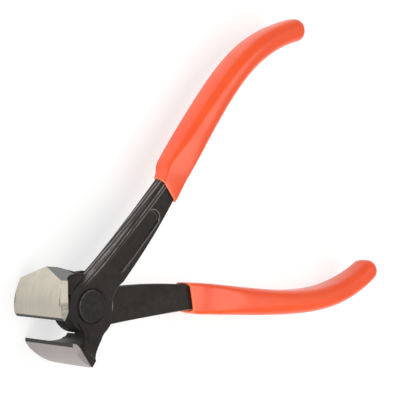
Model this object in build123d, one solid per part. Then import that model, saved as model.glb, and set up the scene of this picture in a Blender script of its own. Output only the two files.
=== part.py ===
from build123d import *
import os
from math import cos, radians, sin

# Front cutting pliers: two forged levers of one form, one turned over on the other, held by a
# joint rivet, with a plastic grip sleeve on each handle. Millimetres. The tool lies on its side:
# Z is the rivet's axis, X runs from the joint to the grips and Y across the tool. A lever is
# drawn with the jaws closed and their edges on the X axis, in front of the plane Z = 0 at the
# joint, with its jaw below the X axis and its handle above it. It is then opened about Z, and
# the whole tool is lowered until the origin lies on the rivet's front face.

# Opening of each lever in the pose in which the tool is shown
HALF_OPENING_DEG = 13.15

# Jaw: a curved plate with a bevelled cutting edge, thinner towards its ridge
JAW_WIDTH = 32.0
JAW_REACH = 22.0
JAW_THICKNESS = 3.4
JAW_RIDGE_THICKNESS = 1.9
JAW_CURVE_RADIUS = 23.87
JAW_CURVE_AHEAD = 0.95
JAW_CURVE_DROP = 2.38
JAW_INNER_START_DEG = 2.0
JAW_SIDE_START_DEG = 6.0
JAW_CORNER_DEG = 33.5
JAW_RIDGE_DEG = 47.5
JAW_CORNER_WIDTH = 27.4
JAW_GROUND_DEG = 15.6
EDGE_FRONT_BEVEL_HEIGHT = 1.5

# Joint: each lever is half as thick as the joint there
JOINT_THICKNESS = 11.6
HUB_RADIUS = 11.4
LAP_GAP = 0.1
LAP_CLEARANCE = 0.5
OPEN_STOP_DEG = 38.0

# Neck from the joint to the jaw
NECK_LEAN_DEG = 13.4
NECK_FLARE_START = 8.5
NECK_FLARE_MID = 15.2
NECK_FLARE_MID_HALF = 9.0
NECK_FLARE_END = 19.8
EYE_START_DEG = 211.0
EYE_BOTTOM = 11.6
EYE_BOTTOM_DEPTH = 8.3
EYE_SLOPE = 15.7
EYE_SLOPE_DEPTH = 6.6
EYE_ROUND = 1.8
EYE_SLANT_DEG = 12.0
FOOT = 10.1
FOOT_DEPTH = 18.6
SHOULDER_DEPTH = 14.0
SHOULDER_AT = 4.2
SHOULDER_BACK = 1.6
SHOULDER_ROUND = 2.4
SHOULDER_BACK_ROUND = 6.0
NECK_REAR_ROUND = 1.7
NECK_REAR_MARGIN = 0.2

# Rivet
RIVET_HEAD_RADIUS = 6.8
RIVET_HEAD_RISE = 1.0
RIVET_HEAD_SEAT = 0.8
RIVET_HEAD_CHAMFER = 0.35
RIVET_RADIUS = 4.5
RIVET_RUNNING_GAP = 0.05
RIVET_SEAT_GAP = 0.6

# Shank from the joint to the grip, bare between them
SHANK_END = 69.0
SHANK_OUTER_START = 10.83
SHANK_OUTER_MID = 14.0
SHANK_OUTER_END = 17.3
SHANK_INNER_START = 3.3
SHANK_INNER_MID = 0.6
SHANK_INNER_END = 8.0
SHANK_MID = 41.4
CROTCH_END = 19.4
CROTCH_MID = 11.1
CROTCH_MID_DEPTH = 5.26
CROTCH_START = 7.94
CROTCH_START_DEPTH = 8.63
SHANK_TOP_AT_GRIP = 4.1
SHANK_BOTTOM_AT_GRIP = 3.5
SHANK_TAPER_START = 15.0
LAP_RUNOUT_AT = 28.7
LAP_RUNOUT_HEIGHT = 3.3
LAP_RUNOUT_TURN_DEG = 18.4
LAP_RUNOUT_SLOPE_DEG = 15.0
SHANK_EDGE_ROUND = 1.1

# Recessed panel on the shank's face
PANEL_START = 19.4
PANEL_START_HEIGHT = 3.7
PANEL_LENGTH = 33.3
PANEL_WIDTH = 6.4
PANEL_DEPTH = 0.6
PANEL_TURN_DEG = 8.0

# Handle line: one curve for both, but bent a little differently towards each tip
HANDLE_START = 57.0
HANDLE_START_HEIGHT = 10.6
HANDLE_LENGTH = 124.3
FRONT_TIP_SHORTER = 2.7
HANDLE_RISE = 20.0
FRONT_TIP_BEND = -1.1
REAR_TIP_BEND = 1.0

# Tang inside the sleeve
TANG_START = 9.0
TANG_START_WIDTH = 7.6
TANG_START_HEIGHT = 5.8
TANG_END_SHORT = 9.0
TANG_CORNER_ROUND = 1.6

# Grip sleeve: its mouth fits the shank, and the body behind it is taller and narrower
GRIP_WALL = 1.8
GRIP_WIDTH = 14.0
GRIP_HEIGHT = 15.8
GRIP_CORNER_ROUND = 5.2
GRIP_TIP_ROUND = 5.0
MOUTH_HEIGHT = 10.2
MOUTH_LIFT = 0.4
MOUTH_CORNER_ROUND = 2.0
MOUTH_BLEND = 5.0
FRONT_MOUTH = 64.3
FRONT_MOUTH_WIDTH = 12.2
FRONT_MOUTH_MIDDLE = 11.3
FRONT_MOUTH_TILT_DEG = 17.0
REAR_MOUTH = 56.4
REAR_MOUTH_WIDTH = 13.8
REAR_MOUTH_MIDDLE = 10.3
REAR_MOUTH_TILT_DEG = 0.0

# Points of the handle line: shares of its length, of its rise and of the bend at its tip
HANDLE_ALONG_SHARES = (0.0, 0.153, 0.346, 0.539, 0.708, 0.845, 1.0)
HANDLE_RISE_SHARES = (0.0, 0.265, 0.605, 0.885, 0.988, 0.898, 0.58)
HANDLE_BEND_SHARES = (0.0, 0.0, 0.0, 0.0, 0.2, 0.6, 1.0)

# Sections of a sleeve: shares of the line's length, and of the width, height and rounding
GRIP_PLACE_SHARES = (
    0.04, 0.105, 0.153, 0.217, 0.306, 0.42, 0.54, 0.66, 0.76, 0.84, 0.895, 0.932, 0.955
)
GRIP_WIDTH_SHARES = (
    1.0, 0.985, 0.97, 0.936, 0.9, 0.846, 0.81, 0.793, 0.793, 0.793, 0.79, 0.787, 0.785
)
GRIP_HEIGHT_SHARES = (
    0.646, 0.672, 0.772, 0.874, 0.924, 0.972, 0.996, 1.0, 0.968, 0.922, 0.89, 0.87, 0.857
)
GRIP_CORNER_SHARES = (
    0.42, 0.54, 0.66, 0.82, 0.93, 0.98, 1.0, 1.0, 1.0, 1.0, 1.0, 1.0, 1.0
)

# Sections of its rounded tip: shares of the rounding, along it and in from its sides
TIP_ALONG_SHARES = (0.3, 0.6, 0.82, 0.97)
TIP_INSET_SHARES = (0.046, 0.2, 0.428, 0.757)

# Reach of a cutting solid past what it cuts
OVERRUN = 40.0

HALF_JOINT = JOINT_THICKNESS / 2
HALF_LAP = LAP_GAP / 2
HALF_WIDTH = JAW_WIDTH / 2


def on_jaw_circle(radius, degrees_down):
    """Point of the drawing plane on a circle about the jaw's centre of curvature."""
    turn = radians(degrees_down)
    return (
        JAW_CURVE_AHEAD - radius * cos(turn),
        -JAW_CURVE_DROP - radius * sin(turn),
    )


def slab(face, half_height):
    """Solid reaching half_height to both sides of the drawing plane."""
    return extrude(face, amount=half_height, both=True)


def jaw_inner_top():
    """Point of the drawing plane where the bevel behind the cutting edge ends."""
    return on_jaw_circle(JAW_CURVE_RADIUS - JAW_THICKNESS, JAW_INNER_START_DEG)


def jaw_plate():
    """Curved plate from the cutting edge to the ridge."""
    rise = JAW_CURVE_DROP - EDGE_FRONT_BEVEL_HEIGHT
    edge = (-JAW_REACH, 0)
    outer_top = (JAW_CURVE_AHEAD - (JAW_CURVE_RADIUS**2 - rise**2) ** 0.5, -EDGE_FRONT_BEVEL_HEIGHT)
    outer_middle = on_jaw_circle(JAW_CURVE_RADIUS, JAW_RIDGE_DEG / 2)
    ridge = on_jaw_circle(JAW_CURVE_RADIUS, JAW_RIDGE_DEG)
    inner_ridge = on_jaw_circle(JAW_CURVE_RADIUS - JAW_RIDGE_THICKNESS, JAW_RIDGE_DEG)
    inner_middle = on_jaw_circle(
        JAW_CURVE_RADIUS - (JAW_THICKNESS + JAW_RIDGE_THICKNESS) / 2, JAW_RIDGE_DEG / 2
    )
    profile = make_face(
        [
            Line(edge, outer_top),
            ThreePointArc(outer_top, outer_middle, ridge),
            Line(ridge, inner_ridge),
            ThreePointArc(inner_ridge, inner_middle, jaw_inner_top()),
            Line(jaw_inner_top(), edge),
        ]
    )
    return slab(profile, HALF_WIDTH)


def jaw_sides():
    """Prism that tapers the plate's sides and grinds its end to a shallow gable."""
    turn = radians(JAW_GROUND_DEG)
    across = Vector(-sin(turn), cos(turn), 0)
    view = Plane(origin=(0, 0, 0), x_dir=across, z_dir=(cos(turn), sin(turn), 0))
    side = Vector(*on_jaw_circle(JAW_CURVE_RADIUS, JAW_SIDE_START_DEG)).dot(across)
    corner = Vector(*on_jaw_circle(JAW_CURVE_RADIUS, JAW_CORNER_DEG)).dot(across)
    ridge = Vector(*on_jaw_circle(JAW_CURVE_RADIUS, JAW_RIDGE_DEG)).dot(across)
    half = [(OVERRUN, HALF_WIDTH), (side, HALF_WIDTH), (corner, JAW_CORNER_WIDTH / 2), (ridge, 0)]
    mirrored = [(along, -height) for along, height in reversed(half[:-1])]
    outline = make_face(Polyline(*half, *mirrored, close=True))
    return extrude(view * outline, amount=OVERRUN, both=True)


def neck_outline():
    """Neck seen along the rivet, from the joint's centre to the ridge, with no eye in it."""
    outer_middle = on_jaw_circle(JAW_CURVE_RADIUS, JAW_RIDGE_DEG / 2)
    ridge = on_jaw_circle(JAW_CURVE_RADIUS, JAW_RIDGE_DEG)
    outer_top = on_jaw_circle(JAW_CURVE_RADIUS, JAW_INNER_START_DEG)
    shoulder_back = (-SHOULDER_BACK, -SHOULDER_DEPTH)
    shoulder = (SHOULDER_AT, -SHOULDER_DEPTH)
    crotch = (CROTCH_START, -CROTCH_START_DEPTH)
    outline = make_face(
        [
            Line((0, 0), outer_top),
            ThreePointArc(outer_top, outer_middle, ridge),
            Line(ridge, (-FOOT, -FOOT_DEPTH)),
            Line((-FOOT, -FOOT_DEPTH), shoulder_back),
            Line(shoulder_back, shoulder),
            Line(shoulder, crotch),
            Line(crotch, (0, 0)),
        ]
    )
    outline = fillet(nearest_corner(outline, shoulder), SHOULDER_ROUND)
    return fillet(nearest_corner(outline, shoulder_back), SHOULDER_BACK_ROUND)


def nearest_corner(face, point):
    """Corner of a face that lies at a point of the drawing plane."""
    return face.vertices().sort_by_distance(Vector(*point))[0]


def eye():
    """Hole between the joint and the edges, straight but for a slant that widens it."""
    start_turn = radians(EYE_START_DEG)
    start = (HUB_RADIUS * cos(start_turn), HUB_RADIUS * sin(start_turn))
    bottom = (-EYE_BOTTOM, -EYE_BOTTOM_DEPTH)
    above_start = (start[0], EYE_BOTTOM_DEPTH)
    above_edge = (jaw_inner_top()[0], EYE_BOTTOM_DEPTH)
    outline = make_face(
        [
            Line(start, bottom),
            ThreePointArc(bottom, (-EYE_SLOPE, -EYE_SLOPE_DEPTH), jaw_inner_top()),
            Line(jaw_inner_top(), above_edge),
            Line(above_edge, above_start),
            Line(above_start, start),
        ]
    )
    outline = fillet(nearest_corner(outline, bottom), EYE_ROUND)
    slant = radians(EYE_SLANT_DEG)
    along = (-sin(slant), 0, cos(slant))
    return slab(outline, HALF_WIDTH) + extrude(outline, amount=HALF_WIDTH, dir=along, both=True)


def neck_flare():
    """Prism whose height grows from the joint's thickness to the jaw's width."""
    lean = radians(NECK_LEAN_DEG)
    view = Plane(origin=(0, 0, 0), x_dir=(cos(lean), sin(lean), 0), z_dir=(sin(lean), -cos(lean), 0))
    top = [
        Line((OVERRUN, HALF_JOINT), (-NECK_FLARE_START, HALF_JOINT)),
        ThreePointArc(
            (-NECK_FLARE_START, HALF_JOINT),
            (-NECK_FLARE_MID, NECK_FLARE_MID_HALF),
            (-NECK_FLARE_END, HALF_WIDTH),
        ),
        Line((-NECK_FLARE_END, HALF_WIDTH), (-OVERRUN, HALF_WIDTH)),
        Line((-OVERRUN, HALF_WIDTH), (-OVERRUN, 0)),
        Line((-OVERRUN, 0), (OVERRUN, 0)),
        Line((OVERRUN, 0), (OVERRUN, HALF_JOINT)),
    ]
    upper = make_face(top)
    profile = upper + mirror(upper, about=Plane.XZ)
    return extrude(view * profile, amount=OVERRUN, both=True)


def depth_behind(point, start, end):
    """How far a point lies behind the chord that runs from start to end in the drawing plane."""
    chord = Vector(*end) - Vector(*start)
    away = Vector(point.X, point.Y) - Vector(*start)
    return chord.cross(away).Z / chord.length


def neck():
    """Neck that carries the jaw plate and half of the eye, with the edges at its back rounded."""
    body = slab(neck_outline(), HALF_WIDTH) & neck_flare()
    crotch = (CROTCH_START, -CROTCH_START_DEPTH)
    ridge = on_jaw_circle(JAW_CURVE_RADIUS, JAW_RIDGE_DEG)
    back = [
        edge
        for edge in body.edges().filter_by(Axis.Z, reverse=True)
        if depth_behind(edge @ 0.5, crotch, ridge) > NECK_REAR_MARGIN
    ]
    return fillet(back, NECK_REAR_ROUND) - eye()


def hub():
    """Half of the joint: a disc in front of the middle plane."""
    return Pos(0, 0, HALF_LAP) * Cylinder(
        HUB_RADIUS, HALF_JOINT - HALF_LAP, align=(Align.CENTER, Align.CENTER, Align.MIN)
    )


def shank_outline():
    """Shank seen along the rivet, from the joint's centre to where the grip covers it."""
    outer_start = (0, SHANK_OUTER_START)
    outer_middle = (SHANK_MID, SHANK_OUTER_MID)
    outer_end = (SHANK_END, SHANK_OUTER_END)
    inner_end = (SHANK_END, SHANK_INNER_END)
    inner_middle = (SHANK_MID, SHANK_INNER_MID)
    inner_start = (CROTCH_END, -SHANK_INNER_START)
    crotch = (CROTCH_START, -CROTCH_START_DEPTH)
    return make_face(
        [
            ThreePointArc(outer_start, outer_middle, outer_end),
            Line(outer_end, inner_end),
            ThreePointArc(inner_end, inner_middle, inner_start),
            ThreePointArc(inner_start, (CROTCH_MID, -CROTCH_MID_DEPTH), crotch),
            Line(crotch, (0, 0)),
            Line((0, 0), outer_start),
        ]
    )


def shank_side():
    """Shank seen from its edge: flat on the lap, then thickening behind it."""
    profile = make_face(
        Polyline(
            (0, HALF_LAP),
            (0, HALF_JOINT),
            (SHANK_TAPER_START, HALF_JOINT),
            (SHANK_END, SHANK_TOP_AT_GRIP),
            (SHANK_END, -SHANK_BOTTOM_AT_GRIP),
            (SHANK_TAPER_START, HALF_LAP),
            close=True,
        )
    )
    return extrude(Plane.XZ * profile, amount=OVERRUN, both=True)


def lap_runout():
    """Wedge that keeps the shank in front of the other one where they cross."""
    turn = -LAP_RUNOUT_TURN_DEG
    wedge = extrude(
        Plane.YZ
        * make_face(
            Polyline(
                (-OVERRUN, HALF_LAP),
                (0, HALF_LAP),
                (OVERRUN, HALF_LAP - OVERRUN * sin(radians(LAP_RUNOUT_SLOPE_DEG))),
                (OVERRUN, -OVERRUN),
                (-OVERRUN, -OVERRUN),
                close=True,
            )
        ),
        amount=OVERRUN,
        both=True,
    )
    return Pos(LAP_RUNOUT_AT, LAP_RUNOUT_HEIGHT, 0) * Rot(0, 0, turn) * wedge


def shank():
    """Bare bar between the joint and the grip, its long edges rounded but for the lap's."""
    bar = slab(shank_outline(), HALF_WIDTH) & shank_side()
    long_edges = [
        edge
        for edge in bar.edges().filter_by(GeomType.LINE, reverse=True)
        if (edge @ 0.5).Z > LAP_GAP or (edge @ 0.5).Y > SHANK_OUTER_START
    ]
    return fillet(long_edges, SHANK_EDGE_ROUND) - lap_runout()


def neck_relief():
    """Room behind the middle plane for the other lever's hub and shank, to the open stop."""
    behind = (Align.CENTER, Align.CENTER, Align.MAX)
    round_room = Cylinder(HUB_RADIUS + LAP_CLEARANCE, OVERRUN, align=behind)
    swing_depth = SHANK_OUTER_START + LAP_CLEARANCE
    swing_room = Rot(0, 0, -OPEN_STOP_DEG) * Pos(0, -swing_depth, 0) * Box(
        OVERRUN, swing_depth, OVERRUN, align=(Align.MIN, Align.MIN, Align.MAX)
    )
    return Pos(0, 0, HALF_LAP) * (round_room + swing_room)


def handle_line(bend, length):
    """Middle of the handle, with a bend at its tip."""
    points = [
        (
            HANDLE_START + length * along,
            HANDLE_START_HEIGHT + HANDLE_RISE * rise + bend * tip,
        )
        for along, rise, tip in zip(HANDLE_ALONG_SHARES, HANDLE_RISE_SHARES, HANDLE_BEND_SHARES)
    ]
    return Spline(*points)


def handle_plane(line, distance):
    """Plane square to the handle line at a distance from its start; its X lies across it."""
    share = distance / line.length
    tangent = line % share
    return Plane(origin=line @ share, x_dir=(-tangent.Y, tangent.X, 0), z_dir=tangent)


def grip_stations(line):
    """Sections of a sleeve's body: each has its distance, place, width, height and rounding."""
    shares = zip(GRIP_PLACE_SHARES, GRIP_WIDTH_SHARES, GRIP_HEIGHT_SHARES, GRIP_CORNER_SHARES)
    for place, width, height, corner in shares:
        distance = line.length * place
        yield (
            distance,
            handle_plane(line, distance),
            GRIP_WIDTH * width,
            GRIP_HEIGHT * height,
            GRIP_CORNER_ROUND * corner,
        )


def tang(line):
    """End of the lever inside the sleeve, drawn out from the shank's section."""
    end = line.length - TANG_END_SHORT
    section = RectangleRounded(TANG_START_WIDTH, TANG_START_HEIGHT, TANG_CORNER_ROUND)
    sections = [handle_plane(line, TANG_START) * section]
    for distance, plane, width, height, _ in grip_stations(line):
        if TANG_START + MOUTH_BLEND < distance < end:
            section = RectangleRounded(
                width - 2 * GRIP_WALL, height - 2 * GRIP_WALL, TANG_CORNER_ROUND
            )
            sections.append(plane * section)
    sections.append(handle_plane(line, end) * section)
    return loft(sections)


def panel():
    """Round-ended recess that follows the taper of the shank's face."""
    run = SHANK_END - SHANK_TAPER_START
    face = Plane(
        origin=(SHANK_TAPER_START, 0, HALF_JOINT),
        x_dir=(run, 0, SHANK_TOP_AT_GRIP - HALF_JOINT),
        z_dir=(HALF_JOINT - SHANK_TOP_AT_GRIP, 0, run),
    )
    slot = extrude(SlotOverall(PANEL_LENGTH, PANEL_WIDTH), amount=OVERRUN)
    place = Pos(PANEL_START - SHANK_TAPER_START, PANEL_START_HEIGHT, -PANEL_DEPTH)
    return face.location * place * Rot(0, 0, PANEL_TURN_DEG) * Pos(PANEL_LENGTH / 2, 0, 0) * slot


def lever(line):
    """One forged lever in the drawing pose, with its tang along a handle line."""
    jaw = (jaw_plate() + neck()) & jaw_sides()
    body = (jaw - neck_relief()) + hub() + shank() + tang(line)
    bore = Cylinder(RIVET_RADIUS + RIVET_RUNNING_GAP, OVERRUN)
    seat = Pos(0, 0, HALF_JOINT - RIVET_HEAD_SEAT) * Cylinder(
        RIVET_HEAD_RADIUS + RIVET_SEAT_GAP, OVERRUN, align=(Align.CENTER, Align.CENTER, Align.MIN)
    )
    return body - bore - seat - panel()


def rivet():
    """Rivet with two flat heads, seated in both levers."""
    head_height = RIVET_HEAD_RISE + RIVET_HEAD_SEAT
    head = Cylinder(RIVET_HEAD_RADIUS, head_height, align=(Align.CENTER, Align.CENTER, Align.MIN))
    head = chamfer(head.edges().group_by(Axis.Z)[-1], RIVET_HEAD_CHAMFER)
    head = Pos(0, 0, HALF_JOINT - RIVET_HEAD_SEAT) * head
    body = Cylinder(RIVET_RADIUS, JOINT_THICKNESS)
    return body + head + Rot(180, 0, 0) * head


def tip_sections(line):
    """Sections of a sleeve's rounded end, past its last full one."""
    start, _, width, height, corner = list(grip_stations(line))[-1]
    sections = []
    for along, share in zip(TIP_ALONG_SHARES, TIP_INSET_SHARES):
        inset = GRIP_TIP_ROUND * share
        plane = handle_plane(line, start + (line.length - start) * along)
        section = RectangleRounded(width - 2 * inset, height - 2 * inset, corner - inset)
        sections.append(plane * section)
    return sections


def sleeve(line, metal, mouth, width, middle, tilt_deg):
    """Sleeve along a handle line, cut square to the shank at its mouth but for a tilt."""
    tilt = radians(tilt_deg)
    mouth_plane = Plane(
        origin=(mouth, middle, MOUTH_LIFT), x_dir=(0, 1, 0), z_dir=(cos(tilt), 0, sin(tilt))
    )
    sections = [mouth_plane * RectangleRounded(width, MOUTH_HEIGHT, MOUTH_CORNER_ROUND)]
    for _, plane, body_width, height, corner in grip_stations(line):
        if plane.origin.X > mouth + MOUTH_BLEND:
            sections.append(plane * RectangleRounded(body_width, height, corner))
    return loft(sections + tip_sections(line)) - metal


front_line = handle_line(FRONT_TIP_BEND, HANDLE_LENGTH - FRONT_TIP_SHORTER)
rear_line = handle_line(REAR_TIP_BEND, HANDLE_LENGTH)
front_drawn = lever(front_line)
rear_drawn = lever(rear_line)
front_sleeve = sleeve(
    front_line,
    front_drawn,
    FRONT_MOUTH,
    FRONT_MOUTH_WIDTH,
    FRONT_MOUTH_MIDDLE,
    FRONT_MOUTH_TILT_DEG,
)
rear_sleeve = sleeve(
    rear_line, rear_drawn, REAR_MOUTH, REAR_MOUTH_WIDTH, REAR_MOUTH_MIDDLE, REAR_MOUTH_TILT_DEG
)
turned_over = Rot(180, 0, 0)
origin_on_rivet = Pos(0, 0, -HALF_JOINT - RIVET_HEAD_RISE)
front_pose = origin_on_rivet * Rot(0, 0, HALF_OPENING_DEG)
rear_pose = origin_on_rivet * Rot(0, 0, -HALF_OPENING_DEG) * turned_over
nodes = {
    "front_lever": front_pose * front_drawn,
    "rear_lever": rear_pose * rear_drawn,
    "joint_rivet": origin_on_rivet * rivet(),
    "front_grip": front_pose * front_sleeve,
    "rear_grip": rear_pose * rear_sleeve,
}

os.makedirs("parts", exist_ok=True)
for name, solid in nodes.items():
    export_step(solid, f"parts/{name}.step")
    print(name, round(solid.volume), "mm3", len(solid.solids()), "solid")
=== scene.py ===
"""Front cutting pliers: finishes, grip sleeves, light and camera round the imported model.

The tool lies on its side, with the rivet's axis upright. Metres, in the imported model's frame.
"""

import logging
from dataclasses import dataclass
from enum import Enum
from functools import partial, reduce
from math import ceil, cos, pi, radians, sin, tan
from typing import NamedTuple

import bpy
import numpy as np
from mathutils import Matrix, Vector


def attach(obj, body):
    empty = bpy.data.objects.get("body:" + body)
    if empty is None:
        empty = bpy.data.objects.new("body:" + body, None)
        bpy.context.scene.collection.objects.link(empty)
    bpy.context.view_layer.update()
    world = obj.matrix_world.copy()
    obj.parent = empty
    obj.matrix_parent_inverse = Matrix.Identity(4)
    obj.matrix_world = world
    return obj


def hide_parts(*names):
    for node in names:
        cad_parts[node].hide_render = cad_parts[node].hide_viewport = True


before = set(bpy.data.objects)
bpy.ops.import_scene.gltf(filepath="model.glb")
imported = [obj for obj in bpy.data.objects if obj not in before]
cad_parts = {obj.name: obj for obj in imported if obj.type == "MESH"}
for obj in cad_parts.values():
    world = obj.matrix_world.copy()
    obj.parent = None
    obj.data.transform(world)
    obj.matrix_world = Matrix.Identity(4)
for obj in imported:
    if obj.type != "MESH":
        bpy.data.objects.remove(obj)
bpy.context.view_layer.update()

logging.basicConfig(level=logging.INFO, format="%(levelname)s %(message)s")
LOG = logging.getLogger("pliers")

MM = 0.001
FROM_MOUTH = "from_mouth"
LINE_SOFTNESS = 0.35
WHITE = (1.0, 1.0, 1.0)
Socket = bpy.types.NodeSocket
Inputs = dict[str | int, object]
Colour = tuple[float, float, float]
Curve = tuple[np.ndarray, np.ndarray]


class Half(Enum):
    """The two halves of the tool, each with the name of its body."""

    FRONT = "front_half"
    REAR = "rear_half"

    @property
    def lever(self) -> str:
        """Name of the half's forged lever."""
        return "front_lever" if self is Half.FRONT else "rear_lever"

    @property
    def grip(self) -> str:
        """Name of the half's sleeve."""
        return "front_grip" if self is Half.FRONT else "rear_grip"

    @property
    def sleeve(self) -> str:
        """Name of the skin that stands for that sleeve."""
        return "front_sleeve" if self is Half.FRONT else "rear_sleeve"


@dataclass(frozen=True)
class ToolPose:
    """Where the drawn lever stands in the frame.

    Attributes:
        half_opening: Turn of each lever from the closed jaws, in degrees.
        joint_depth: Depth of the joint's middle plane below the origin, in millimetres.
    """

    half_opening: float = 13.15
    joint_depth: float = 6.8

    def to_drawing(self, half: Half) -> Inputs:
        """Settings of a Mapping node that brings frame coordinates back to the drawn lever.

        Args:
            half: Which of the two halves.

        Returns:
            The node's shift in millimetres, its Euler angles in radians and its scale.
        """
        shift, turn, scale = self.from_drawing(half).inverted().decompose()
        return {"Location": shift, "Rotation": turn.to_euler(), "Scale": scale}

    def from_drawing(self, half: Half) -> Matrix:
        """Matrix that takes a shape in drawn millimetres to its place in the frame.

        Args:
            half: Which of the two halves.

        Returns:
            The matrix.
        """
        sign = 1.0 if half is Half.FRONT else -1.0
        placed = Matrix.Translation((0.0, 0.0, -self.joint_depth * MM))
        placed = placed @ Matrix.Rotation(sign * radians(self.half_opening), 4, "Z")
        if half is Half.REAR:
            placed = placed @ Matrix.Rotation(pi, 4, "X")
        return placed @ Matrix.Scale(MM, 4)


POSE = ToolPose()


class Noise(NamedTuple):
    """Settings of a Noise texture: its scale, its octaves, and how much the finer ones count."""

    scale: float
    detail: float
    rough: float


class Ramp(NamedTuple):
    """Straight change from to_low to to_high while another number goes from low to high."""

    low: float
    high: float
    to_low: float
    to_high: float


class Step(NamedTuple):
    """Soft rise of a mask, blur wide to each side of its edge; a fall where blur is below 0."""

    edge: float
    blur: float


class Stroke(NamedTuple):
    """Thin line of a mask: where it lies, and half of its width."""

    middle: float
    half_width: float


class Relief(NamedTuple):
    """Strength of a bump, and its depth in millimetres."""

    strength: float
    depth: float


class Graph:
    """Adds and links the nodes of one node tree."""

    def __init__(self, tree: bpy.types.NodeTree) -> None:
        """Starts on an empty tree.

        Args:
            tree: The tree that the nodes go into.
        """
        self.tree = tree
        tree.nodes.clear()

    def add(self, kind: str, inputs: Inputs | None = None, **settings: object) -> bpy.types.Node:
        """Adds a node.

        Args:
            kind: Blender's name of the node type.
            inputs: What goes into the node's inputs.
            **settings: Plain properties of the node.

        Returns:
            The new node.
        """
        node = self.tree.nodes.new(kind)
        for name, value in settings.items():
            setattr(node, name, value)
        self.feed(node, inputs or {})
        return node

    def feed(self, node: bpy.types.Node, inputs: Inputs) -> None:
        """Links sources to a node's inputs, or sets the inputs' own values.

        Args:
            node: The node.
            inputs: Sockets and plain values, by the names or numbers of the inputs.
        """
        for name, value in inputs.items():
            socket = node.inputs[name]
            if isinstance(value, Socket):
                self.tree.links.new(value, socket)
            elif socket.type == "RGBA":
                socket.default_value = (*value, 1.0)
            else:
                socket.default_value = value

    def math(self, operation: str, *values: object) -> Socket:
        """Applies a Math node's operation to numbers or sockets."""
        return self.add("ShaderNodeMath", dict(enumerate(values)), operation=operation).outputs[0]

    def fold(self, operation: str, *values: object) -> Socket:
        """Applies one operation to several values, from the first to the last."""
        return reduce(partial(self.math, operation), values)

    def product(self, *values: object) -> Socket:
        """Multiplies several masks."""
        return self.fold("MULTIPLY", *values)

    def weigh(self, x: object, x_share: float, y: object, y_share: float) -> Socket:
        """Adds two numbers, each times its share."""
        return self.math("ADD", self.product(x, x_share), self.product(y, y_share))

    def length(self, x: object, y: object) -> Socket:
        """Length of a line in the plane, from its parts along X and Y."""
        squares = (self.math("POWER", part, 2.0) for part in (x, y))
        return self.math("SQRT", self.math("ADD", *squares))

    def span(self, value: object, ramp: Ramp, hold: bool = True) -> Socket:
        """Maps a value along a ramp, and holds it at both ends if asked."""
        return self.add("ShaderNodeMapRange", dict(enumerate((value, *ramp))), clamp=hold).outputs[0]

    def step(self, value: object, step: Step) -> Socket:
        """Mask that changes where a value passes a step's edge."""
        inputs = {0: value, 1: step.edge - step.blur, 2: step.edge + step.blur}
        return self.add("ShaderNodeMapRange", inputs, interpolation_type="SMOOTHSTEP").outputs[0]

    def stroke(self, value: object, stroke: Stroke) -> Socket:
        """Mask of a thin line where a value is near the stroke's middle."""
        off = self.math("ABSOLUTE", self.math("SUBTRACT", value, stroke.middle))
        return self.step(off, Step(stroke.half_width, -LINE_SOFTNESS * stroke.half_width))

    def noise(self, place: object, noise: Noise) -> Socket:
        """Grey value of a Noise texture at a place."""
        inputs = {"Vector": place, "Scale": noise.scale, "Detail": noise.detail, "Roughness": noise.rough}
        return self.add("ShaderNodeTexNoise", inputs).outputs["Fac"]

    def stretched(self, place: object, scale: tuple[float, float, float]) -> Socket:
        """Coordinates drawn out along some axes."""
        return self.add("ShaderNodeMapping", {"Vector": place, "Scale": scale}).outputs["Vector"]

    def combine(self, x: object, y: object, z: object) -> Socket:
        """Joins three numbers into coordinates."""
        return self.add("ShaderNodeCombineXYZ", {0: x, 1: y, 2: z}).outputs[0]

    def separate(self, place: object) -> tuple[Socket, ...]:
        """Parts coordinates into their three numbers."""
        return tuple(self.add("ShaderNodeSeparateXYZ", {0: place}).outputs)

    def blend(self, share: object, first: object, second: object) -> Socket:
        """Mixes two colours by a share of the second."""
        return self.add("ShaderNodeMix", {0: share, 6: first, 7: second}, data_type="RGBA").outputs[2]

    def mix(self, share: object, first: object, second: object) -> Socket:
        """Mixes two numbers by a share of the second."""
        return self.add("ShaderNodeMix", {0: share, 2: first, 3: second}, data_type="FLOAT").outputs[0]

    def bump(self, height: Socket, relief: Relief, **under: Socket) -> Socket:
        """Normal of a bumpy surface, on top of another Normal where that is given."""
        inputs = {"Height": height, "Strength": relief.strength, "Distance": relief.depth * MM, **under}
        return self.add("ShaderNodeBump", inputs).outputs[0]


class Surface(Graph):
    """Graph of a new material."""

    def __init__(self, name: str) -> None:
        """Makes the material.

        Args:
            name: The material's name.
        """
        self.material = bpy.data.materials.new(name)
        self.material.use_nodes = True
        super().__init__(self.material.node_tree)

    def cover(self, shader: Socket) -> bpy.types.Material:
        """Lets a shader cover the material, and gives the material."""
        self.add("ShaderNodeOutputMaterial", {"Surface": shader})
        return self.material

    def shade(self, inputs: Inputs) -> bpy.types.Material:
        """Covers the material with one Principled shader, and gives the material."""
        return self.cover(self.add("ShaderNodeBsdfPrincipled", inputs).outputs["BSDF"])


FLAT_FACE = Step(0.8, 0.1)
UPPER_SIDE = Step(1.0, 0.5)


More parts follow.
